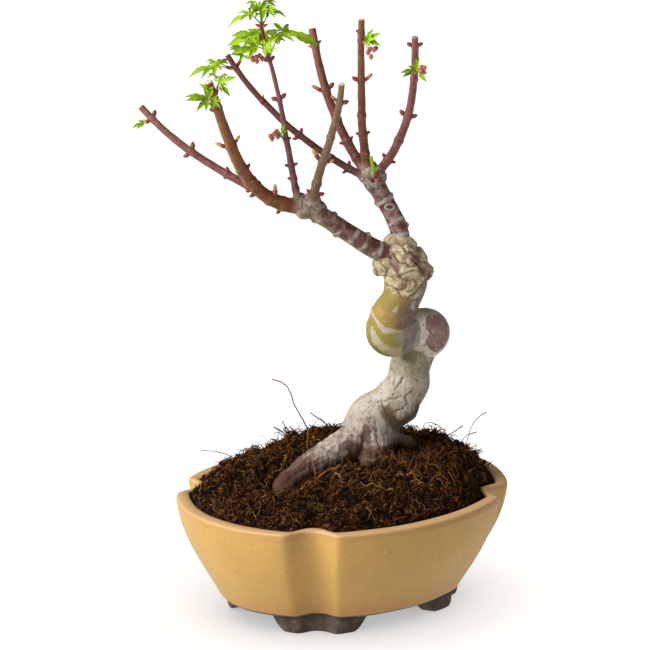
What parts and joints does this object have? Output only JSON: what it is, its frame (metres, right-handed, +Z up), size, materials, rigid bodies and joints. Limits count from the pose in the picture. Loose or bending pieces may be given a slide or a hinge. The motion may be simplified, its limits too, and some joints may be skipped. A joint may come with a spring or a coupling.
{
  "type": "bonsai tree in a pot",
  "caption": "Small Japanese maple bonsai with a coiled trunk, cut-back branches and young spring leaves, in a notched ochre pot with bracket feet.",
  "frame": {"origin": "middle of the underside of the part's box, at the level of the pot's feet", "axes": "+Z up along the tree, +X to the right and +Y away from the viewer in the picture's view"},
  "size_m": [0.171, 0.1448, 0.2778],
  "materials": {
    "glazed_stoneware": "satin ochre glaze with fine specks",
    "potting_soil": "moist dark crumbs and fibres",
    "old_bark": "matt grey-white bark with cracks",
    "bough_bark": "matt purple-brown bark with pale rings",
    "young_bark": "satin red-brown bark",
    "young_foliage": "thin fresh green leaves"
  },
  "bodies": {
    "root": {"pot": "glazed_stoneware", "soil": "potting_soil", "trunk": "old_bark", "bough_left": "bough_bark", "bough_right": "bough_bark", "branch_left_outer": "young_bark", "branch_left_low": "young_bark", "branch_left_middle": "young_bark", "branch_left_inner": "young_bark", "branch_right_long": "young_bark", "branch_right_back": "young_bark", "branch_right_upright": "young_bark", "branch_right_outer": "young_bark", "leaves_crown_top": "young_foliage", "leaves_long_left": "young_foliage", "leaves_long_right": "young_foliage", "leaves_outer_upper": "young_foliage", "leaves_outer_lower": "young_foliage", "leaf_left_low": "young_foliage", "blossom_middle": "young_foliage", "leaves_upright": "young_foliage", "leaves_far_right": "young_foliage", "shoot_right_knuckle": "young_foliage"}
  },
  "joints": []
}
